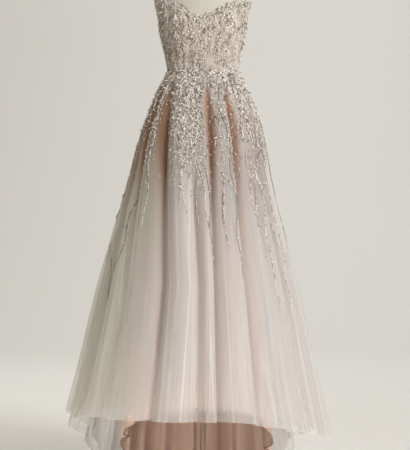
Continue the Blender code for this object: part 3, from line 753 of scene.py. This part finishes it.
def seed_shape():
    """The smallest beads have eight sides: a four-sided cone and its mirror image."""
    half_height = 0.42
    bpy.ops.mesh.primitive_cone_add(vertices=4, radius1=0.5, radius2=0.0, depth=half_height,
                                    end_fill_type="NOTHING", location=(0, 0, half_height / 2))
    made = bpy.context.object
    bpy.ops.object.transform_apply(location=True)
    mirror = made.modifiers.new("Mirror", "MIRROR")
    mirror.use_axis = (False, False, True)
    bpy.ops.object.modifier_apply(modifier="Mirror")
    made.data.calc_loop_triangles()
    corners = np.array([tuple(p.co) for p in made.data.vertices])
    faces = np.array([tuple(t.vertices) for t in made.data.loop_triangles])
    bpy.data.objects.remove(made)
    return corners, faces


seed = seed_shape()
leaf_shape = bead_shape(0.40, 1.0, 0.20, segments=4, rings=4)
crystal_shape = bead_shape(1.0, 1.0, 0.55, segments=6, rings=3)
bugle_shape = bead_shape(0.36, 1.0, 0.34, segments=4, rings=3)
print("corners of a seed, leaf, crystal and bugle bead",
      [len(corners) for corners, _ in (seed, leaf_shape, crystal_shape, bugle_shape)])


def strewn(name, shape, spots, finish):
    """One joined piece: a copy of the shape at each spot (place, heading, outward, size)."""
    corners, faces = shape
    place, heading, outward, size = spots
    across = np.cross(heading, outward)
    local = corners[None, :, :] * size[:, None, None]
    points = (place[:, None, :] + local[..., 0:1] * across[:, None, :]
              + local[..., 1:2] * heading[:, None, :] + local[..., 2:3] * outward[:, None, :])
    index = faces[None, :, :] + (np.arange(len(place)) * len(corners))[:, None, None]
    mesh = bpy.data.meshes.new(name)
    mesh.vertices.add(points.size // 3)
    mesh.vertices.foreach_set("co", points.reshape(-1).astype(np.float32))
    mesh.loops.add(index.size)
    mesh.loops.foreach_set("vertex_index", index.reshape(-1).astype(np.int32))
    mesh.polygons.add(index.size // 3)
    mesh.polygons.foreach_set("loop_start", np.arange(0, index.size, 3, dtype=np.int32))
    mesh.update()
    mesh.validate()
    mesh.materials.append(finish)
    piece = bpy.data.objects.new(name, mesh)
    bpy.context.collection.objects.link(piece)
    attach(piece, "root")
    print(name, len(place), "copies,", index.size // 3, "triangles")
    return piece


# %% Places on the dress
waist_angles = outer.at_waist


def dress_points(angle, s):
    """Points for places (angle at the waist, metres below it): s below 0 is on the bodice."""
    on_skirt = s > 0
    q = np.interp(wrapped(angle), waist_angles, np.arange(outer.count + 1))
    v = np.clip(np.maximum(s, 0.0) / outer.length(q), 0.0, 1.0)
    edge = curve_through(TOP_EDGE, 1, np.abs(wrapped(angle)))
    share = np.clip(-s, 0.0, None) / edge
    high = bodice_points(angle, np.minimum(share, 1.0))
    bare = body_points(angle, np.maximum(-s, 0.0), FORM_GAP + 0.001)
    high = np.where((share > 1.0)[:, None], bare, high)
    return np.where(on_skirt[:, None], outer.points(q, v), high)


def around_at(s):
    """How far a degree goes round the dress there."""
    lengths = (-0.2, -0.1, 0.0, 0.1, 0.3, 0.5, 1.0)
    radii = (0.13, 0.115, 0.10, 0.145, 0.21, 0.26, 0.39)
    return np.interp(s, lengths, radii) * math.pi / 180.0


def spots_at(angle, s, heading, size, lift, tilt=0.0):
    """Places with their directions. Heading is the turn from straight down, in radians, and a
    tilt raises the tip off the cloth."""
    angle, s, heading = (np.asarray(x, float) for x in (angle, s, heading))
    small = 0.003
    here = dress_points(angle, s)
    down = dress_points(angle, s + small) - dress_points(angle, s - small)
    degrees = small / around_at(s)
    round_it = dress_points(angle + degrees, s) - dress_points(angle - degrees, s)
    down /= np.linalg.norm(down, axis=1, keepdims=True) + 1e-12
    round_it /= np.linalg.norm(round_it, axis=1, keepdims=True) + 1e-12
    outward = np.cross(down, round_it)
    outward /= np.linalg.norm(outward, axis=1, keepdims=True) + 1e-12
    along = down * np.cos(heading)[:, None] + round_it * np.sin(heading)[:, None]
    along -= outward * np.sum(along * outward, axis=1, keepdims=True)
    along /= np.linalg.norm(along, axis=1, keepdims=True) + 1e-12
    size, tilt = np.asarray(size) + 0.0 * s, np.asarray(tilt) + 0.0 * s
    rise, level = np.sin(tilt)[:, None], np.cos(tilt)[:, None]
    here = here + outward * (lift + 0.5 * size * np.sin(tilt))[:, None]
    return here, along * level + outward * rise, outward * level - along * rise, size


# %% Growing the branches
rng = np.random.default_rng(11)
stems, dark_stems, leaves, glints = [], [], [], []
LEAST_LENGTH, MOST_LENGTH = -0.262, 1.0

# where the deep folds run: a map over every half degree and every 4 mm below the waist
MAP_ANGLE, MAP_DEPTH = 0.5, 0.004
all_angles = np.arange(-180.0, 180.0, MAP_ANGLE)
map_depths, map_angles = np.meshgrid(np.arange(0.0, 0.36, MAP_DEPTH), all_angles)
map_q = np.interp(map_angles, waist_angles, np.arange(outer.count + 1))
away, deep = outer.from_trough(map_q, map_depths / 1.15, map_depths)
narrow = away < 0.004 + 0.014 * eased(map_depths, 0.02, 0.14)
trough_map = (map_depths > 0.025) & narrow & (deep > 0.3)


def in_trough(angle, s):
    return 0.0 < s < 0.355 and trough_map[int((angle + 180.0) % 360.0 / MAP_ANGLE), int(s / MAP_DEPTH)]


# how far a degree goes round the dress on the folds themselves, in a map of the same kind
degree_depths, degree_angles = np.meshgrid(np.arange(0.0, 1.0, MAP_DEPTH), all_angles)
depths, turns = degree_depths.ravel() + 0.0001, degree_angles.ravel()
half = MAP_ANGLE / 2
apart = np.linalg.norm(dress_points(turns + half, depths) - dress_points(turns - half, depths), axis=1)
degree_map = (apart / MAP_ANGLE).reshape(degree_depths.shape)
degree_map = np.clip(degree_map, 0.6 * around_at(degree_depths), 4.0 * around_at(degree_depths))


def per_degree(angle, s):
    if not 0.0 < s < 0.998:
        return around_at(s)
    return degree_map[int((angle + 180.0) % 360.0 / MAP_ANGLE), int(s / MAP_DEPTH)]


def top_edge(angle):
    return curve_through(TOP_EDGE, 1, np.abs(wrapped(angle)))


def shaded_side(angle):
    """1 on the side that turns from the light, where more of the beads are made dark as painted shade."""
    return float(eased(-angle, 50.0, 75.0) - eased(-angle, 100.0, 125.0))


def grow(angle, s, length, heading, size, leafy, dark, sway=0.35, pace=90.0, bead=0.0050,
         step=0.0044, forks=0):
    """Walks down from a place and notes stem beads, leaves and crystals at each step. Dark is the
    share of its beads that are of the darker silver; on the side turned from the light a larger share
    stands for painted shade."""
    gone, aim, side = 0.0, heading, 1
    fork_at, wave = length * rng.uniform(0.35, 0.6), rng.uniform(0, 6.3)
    since_leaf = 0.0
    while gone < length:
        left = 1.0 - gone / length
        aim = 0.94 * aim + 0.06 * heading * left + rng.normal(0, 0.025)
        turn = aim + sway * (0.4 + 0.6 * left) * math.sin(wave + gone * pace)
        s += step * math.cos(turn)
        angle += step * math.sin(turn) / per_degree(angle, s)
        gone += step
        since_leaf += step
        if s < LEAST_LENGTH or s > MOST_LENGTH:
            return
        if in_trough(angle, s) and rng.random() < 0.8:
            continue
        strand = dark_stems if rng.random() < dark else stems
        strand.append((angle, s, turn, bead * (0.7 + 0.3 * left)))
        if since_leaf > 0.0060 / leafy and rng.random() < 0.35 + 0.5 * left:
            since_leaf = 0.0
            side = -side
            spread = side * rng.uniform(0.30, 0.90)
            reach = size * rng.uniform(0.7, 1.3) * (0.55 + 0.45 * left)
            leaves.append((angle + 0.5 * reach * math.sin(turn + spread) / per_degree(angle, s),
                           s + 0.5 * reach * math.cos(turn + spread), turn + spread, reach))
        if rng.random() < 0.07 * left:
            aside = rng.normal(0, 0.004) / per_degree(angle, s)
            glints.append((angle + aside, s + rng.normal(0, 0.003), rng.uniform(0, 3),
                           rng.uniform(0.0025, 0.0045)))
        if forks and gone > fork_at:
            grow(angle, s, (length - gone) * rng.uniform(0.6, 1.0), turn + 0.35 * side, size, leafy, dark,
                 sway, pace, bead, step, forks - 1)
            forks, aim = 0, aim - 0.12 * side


# %% Trails and branches
BRANCHES, BODICE_BRANCHES, EDGE_SPRAYS, CURLS = 150, 96, 170, 7100
# Long trails of single beads: angle at the waist, metres that they reach below it, whether their
# beads are of the darker silver, and whether they fork
TRAILS = (
    (-92, 0.93, 1, 1), (-84, 0.80, 1, 1), (-74, 0.64, 1, 0), (-66, 0.88, 1, 1), (-50, 0.52, 0, 0),
    (-36, 0.50, 0, 0), (-26, 0.42, 0, 0), (-17, 0.50, 0, 0), (-9, 0.58, 0, 1), (0, 0.64, 1, 0),
    (9, 0.58, 0, 1), (15, 0.50, 1, 0), (21, 0.68, 1, 0), (33, 0.46, 0, 0), (41, 0.56, 0, 0),
    (48, 0.62, 0, 0), (54, 0.78, 0, 1), (66, 0.80, 0, 0), (77, 0.52, 0, 0), (90, 0.66, 1, 0),
    (104, 0.46, 0, 0), (118, 0.60, 0, 1), (133, 0.44, 1, 0), (147, 0.62, 0, 0), (162, 0.50, 0, 0),
    (176, 0.56, 1, 1), (-168, 0.46, 0, 0), (-153, 0.60, 0, 0), (-139, 0.48, 1, 0), (-124, 0.66, 0, 1),
    (-109, 0.50, 1, 0),
)
for angle, reach, dark, forks in TRAILS:
    grow(angle, 0.02, reach, 0.0, size=0.0090, leafy=0.40, dark=0.92 if dark else 0.30, sway=0.30,
         pace=30.0, bead=0.0100, step=0.0060, forks=forks)
# Leafy branches hang from the waist
for number in range(BRANCHES):
    angle = -180.0 + 360.0 / BRANCHES * number + rng.uniform(-1.2, 1.2)
    reach = rng.uniform(0.13, 0.46)
    # every sixth branch is of the darker silver; elsewhere more beads are dark on the side turned from the
    # light, as painted shade
    dark = 0.8 if number % 6 == 0 else 0.25 + 0.50 * shaded_side(angle)
    grow(angle, -0.012, reach, rng.normal(0, 0.12), size=0.0110, leafy=0.9, dark=dark, forks=1)
# On the bodice they climb all the way from the waist to the top edge
for number in range(BODICE_BRANCHES):
    angle = -180.0 + 360.0 / BODICE_BRANCHES * number + rng.uniform(-0.8, 0.8)
    if abs(wrapped(angle - 180.0)) < 4.5:
        continue
    top = float(top_edge(angle)) + rng.uniform(-0.012, 0.012)
    dark = 0.8 if number % 6 == 1 else 0.15
    grow(angle, -top, top, rng.normal(0, 0.06), size=0.0105, leafy=1.0, dark=dark)
# Sprays stand over the edge, highest where the bodice's sides rise to the underarm
for number in range(EDGE_SPRAYS):
    angle = rng.uniform(-84, 84)
    climb = 0.023 + 0.034 * float(eased(abs(angle), 48.0, 66.0))
    rise = rng.uniform(0.2, 1.0) * climb
    top = float(top_edge(angle)) + rise
    dark = 0.8 if number % 3 == 0 else 0.15
    grow(angle, -top, rise + 0.010, rng.normal(0, 0.35), size=0.0090, leafy=0.8, dark=dark)
print("stems", len(stems), len(dark_stems), "leaves", len(leaves), "glints", len(glints))

# %% Curls of seed beads
# Short curls fill the ground between the branches. They are close on the bodice and at the waist,
# leave the deep folds free and get rare towards the middle of the skirt.
curls = []
for number in range(CURLS):
    angle, s = rng.uniform(-180, 180), -0.20 + 0.66 * rng.beta(1.5, 2.6)
    if number % 14 == 0:
        s = rng.uniform(-0.014, 0.018)
    if -s > top_edge(angle) + 0.002 or in_trough(angle, s) or abs(wrapped(angle - 180.0)) < 3.0:
        continue
    radius, start, bend = rng.uniform(0.0022, 0.0060), rng.uniform(0, 6.3), rng.choice((-1, 1))
    # some curls are of the darker silver, and more are dark on the side turned from the light, as painted
    # shade
    tone = rng.random() < 0.16 + 0.50 * shaded_side(angle)
    for bead in range(rng.integers(2, 7)):
        turn = start + bend * bead * 0.0026 / radius
        curls.append((angle + 0.7 * radius * math.cos(turn) / per_degree(angle, s),
                      s + 1.3 * radius * math.sin(turn), 0.0,
                      rng.uniform(0.0020, 0.0037), tone, angle, s, radius))
curls = np.array(curls)
# a curl that a steep fold pulls out of shape is left out
pulled = dress_points(curls[:, 0], curls[:, 1]) - dress_points(curls[:, 5], curls[:, 6])
curls = curls[np.linalg.norm(pulled, axis=1) < 1.7 * curls[:, 7] + 0.001]
print("curl beads", len(curls))

# %% Placing them
stem_rows, dark_rows, leaf_rows, glint_rows = map(np.array, (stems, dark_stems, leaves, glints))


def placed(rows, lift, tilt=0.0):
    return spots_at(rows[:, 0], rows[:, 1], rows[:, 2], rows[:, 3], lift, tilt)


low = leaf_rows[:, 1] > 0.02
shaded = rng.random(len(leaf_rows)) < 0.22
for name, chosen, finish in (("bodice_leaves", ~low & ~shaded, silver),
                             ("skirt_leaves", low & ~shaded, silver),
                             ("shaded_leaves", shaded, old_silver)):
    tilts = rng.uniform(0.0, 1.0, chosen.sum()) ** 2
    strewn(name, leaf_shape, placed(leaf_rows[chosen], 0.0014, tilts), finish)
high = stem_rows[:, 1] < 0.05
strewn("bodice_stem_beads", bugle_shape, placed(stem_rows[high], 0.0012), pearl)
strewn("skirt_stem_beads", bugle_shape, placed(stem_rows[~high], 0.0012), pearl)
strewn("dark_stem_beads", bugle_shape, placed(dark_rows, 0.0013), old_silver)
dark = curls[:, 4] > 0.5
strewn("pale_seed_beads", seed, placed(curls[~dark], 0.0010), pearl)
strewn("dark_seed_beads", seed, placed(curls[dark], 0.0010), old_silver)
strewn("crystals_on_dress", crystal_shape, placed(glint_rows, 0.0022), crystal)

# %% [markdown]
# Light, backdrop and camera
#
# A pale paper sweep, one big soft light from the right and a weak one low down at the front. Two
# more are aimed at the paper: one at its floor, one at its back.

# %% Stage
BEND_FROM, BEND_RADIUS, PAPER_TOP, PAPER_HALF_WIDTH = 5.0, 3.6, 9.0, 10.0
bend = np.linspace(0.05, math.pi / 2, 24)
profile = [(-9.0, 0.0), (BEND_FROM, 0.0)]
profile += [(BEND_FROM + BEND_RADIUS * math.sin(a), BEND_RADIUS - BEND_RADIUS * math.cos(a)) for a in bend]
profile += [(BEND_FROM + BEND_RADIUS, PAPER_TOP)]
points = np.array([[(x, y, z) for y, z in profile] for x in (PAPER_HALF_WIDTH, -PAPER_HALF_WIDTH)])
paper = material("paper", (0.755, 0.748, 0.732), 1.0)
mesh = bpy.data.meshes.new("paper_sweep")
count = len(profile)
mesh.from_pydata(points.reshape(-1, 3).tolist(), [],
                 [(i, i + 1, count + i + 1, count + i) for i in range(count - 1)])
mesh.shade_smooth()
mesh.materials.append(paper)
sweep = bpy.data.objects.new("paper_sweep", mesh)
bpy.context.collection.objects.link(sweep)

# %% Lights
def soft_light(name, place, target, size, power, color, spread=180.0):
    lamp = bpy.data.lights.new(name, "AREA")
    lamp.shape = "SQUARE"
    lamp.size = size
    lamp.energy = power
    lamp.color = color
    lamp.spread = math.radians(spread)
    made = bpy.data.objects.new(name, lamp)
    made.location = place
    aim = np.array(target) - np.array(place)
    tip = math.acos(-aim[2] / np.linalg.norm(aim))
    made.rotation_euler = (tip, 0.0, math.atan2(aim[1], aim[0]) - math.pi / 2)
    bpy.context.collection.objects.link(made)


soft_light("key", (2.7, -3.45, 3.0), (0.0, 0.0, 1.3), 1.6, 174.0, (1.0, 0.99, 0.975))
soft_light("low front", (-0.9, -4.3, 0.10), (-0.1, 0.0, -0.14), 0.5, 1.18, (1.0, 0.98, 0.95), spread=20.0)
soft_light("floor", (-1.5, 2.0, 3.8), (-0.8, 1.2, 0.0), 2.4, 48.0, (1.0, 0.99, 0.965))
soft_light("backdrop", (1.0, 4.0, 5.5), (1.0, 7.0, 2.8), 4.0, 123.0, (0.99, 0.99, 0.995))
world = bpy.context.scene.world or bpy.data.worlds.new("World")
bpy.context.scene.world = world
world.use_nodes = True
tree = world.node_tree
direction, split = tree.nodes.new("ShaderNodeTexCoord"), tree.nodes.new("ShaderNodeSeparateXYZ")
tree.links.new(direction.outputs["Generated"], split.inputs["Vector"])
brighter_right = ranged(tree, split.outputs["X"], From_Min=-0.7, To_Min=0.27, To_Max=0.64)
left_to_right = ranged(tree, split.outputs["X"], From_Min=-1.0)
warm_left = mixed(tree, left_to_right, (1.0, 0.87, 0.62), (0.99, 0.985, 0.98))
tree.links.new(brighter_right, tree.nodes["Background"].inputs["Strength"])
tree.links.new(warm_left, tree.nodes["Background"].inputs["Color"])
bpy.context.scene.view_settings.view_transform = "Standard"
bpy.context.scene.cycles.transparent_max_bounces = 40

# %% Camera
CAMERA_PLACE, LENS_MM = (0.0066, -5.0, 0.841), 121.2
lens = bpy.data.cameras.new("camera")
lens.lens = LENS_MM
camera = bpy.data.objects.new("camera", lens)
camera.location = CAMERA_PLACE
camera.rotation_euler = (math.pi / 2, 0.0, 0.0)
bpy.context.collection.objects.link(camera)
bpy.context.scene.camera = camera
